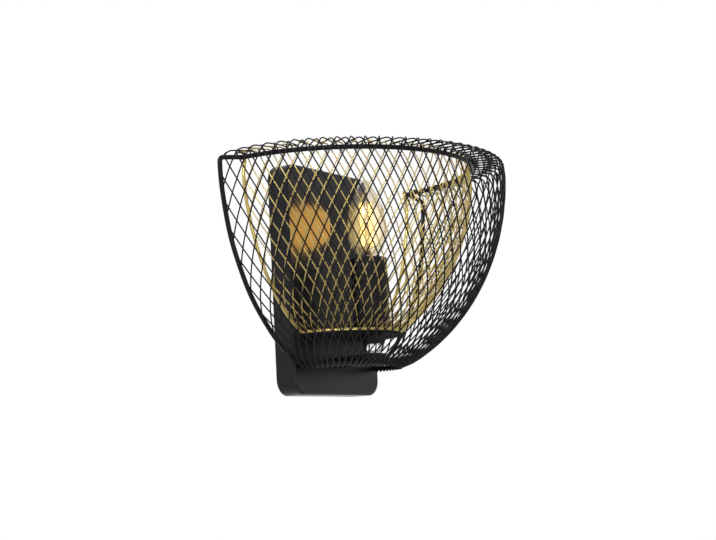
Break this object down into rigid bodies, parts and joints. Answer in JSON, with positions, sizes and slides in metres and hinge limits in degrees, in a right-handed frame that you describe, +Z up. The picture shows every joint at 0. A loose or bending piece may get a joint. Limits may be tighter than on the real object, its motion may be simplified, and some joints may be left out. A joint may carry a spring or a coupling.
{
  "type": "wall lamp",
  "caption": "Wall lamp with a rounded box plate, an upright candle bulb and nested half-bowl wire mesh shades, black outside and gold inside.",
  "frame": {"origin": "middle of the wall plate's back, on the wall", "axes": "+Z up, +Y into the wall, so the front faces -Y"},
  "size_m": [0.313, 0.1783, 0.2],
  "materials": {
    "black_coat": "satin powder coat",
    "gold_coat": "satin gold",
    "zinc_plate": "bright zinc plate",
    "brass": "bare brass",
    "white_plastic": "matt white",
    "black_plastic": "matt black",
    "brown_sheath": "brown sheath",
    "blue_sheath": "blue sheath",
    "green_sheath": "green sheath",
    "clear_glass": "clear",
    "cap_metal": "nickel plate",
    "black_glass": "black glass",
    "solder": "solder",
    "support_metal": "thin wire",
    "filament": "yellow, lit"
  },
  "bodies": {
    "lamp": {"backplate": "black_coat", "arm": "black_coat", "knuckle": "black_coat", "holder_cup": "black_coat", "carrier_disc": "black_coat", "holder_sleeve": "black_coat", "outer_rim_ring": "black_coat", "outer_foot_ring": "black_coat", "outer_left_post": "black_coat", "outer_right_post": "black_coat", "outer_strands_left": "black_coat", "outer_strands_right": "black_coat", "inner_foot_ring": "gold_coat", "inner_left_post": "gold_coat", "inner_right_post": "gold_coat", "inner_strands_left": "gold_coat", "inner_strands_right": "gold_coat", "wall_bracket": "zinc_plate", "cover_screws": "zinc_plate", "terminal_fixing": "zinc_plate", "earth_screw": "zinc_plate", "arm_washer": "zinc_plate", "arm_nut": "zinc_plate", "nipple": "zinc_plate", "nipple_nut": "zinc_plate", "foot_washers": "zinc_plate", "foot_nuts": "zinc_plate", "terminal_screws": "brass", "socket_shell": "brass", "socket_contact": "brass", "terminal_block": "white_plastic", "socket_base": "black_plastic", "socket_body": "black_plastic", "live_lead": "brown_sheath", "neutral_lead": "blue_sheath", "earth_lead": "green_sheath"},
    "bulb_lift": {"bulb_contact": "solder"},
    "bulb": {"bulb_glass": "clear_glass", "bulb_cap": "cap_metal", "bulb_insulator": "black_glass", "bulb_stem": "clear_glass", "filament_wires": "support_metal", "filaments": "filament"}
  },
  "joints": [
    {"name": "bulb_rise", "type": "slide", "parent": "lamp", "child": "bulb_lift", "axis": [0, 0, 1], "range_m": [0, 0.01702]},
    {"name": "bulb_unscrew", "type": "hinge", "parent": "bulb_lift", "child": "bulb", "pos_m": [0, -0.058, 0], "axis": [0, 0, 1], "range_deg": [0, 2160]}
  ],
  "couplings": [
    {"joint": "bulb_rise", "follows": "bulb_unscrew", "m_per_rad": 0.00044882}
  ]
}
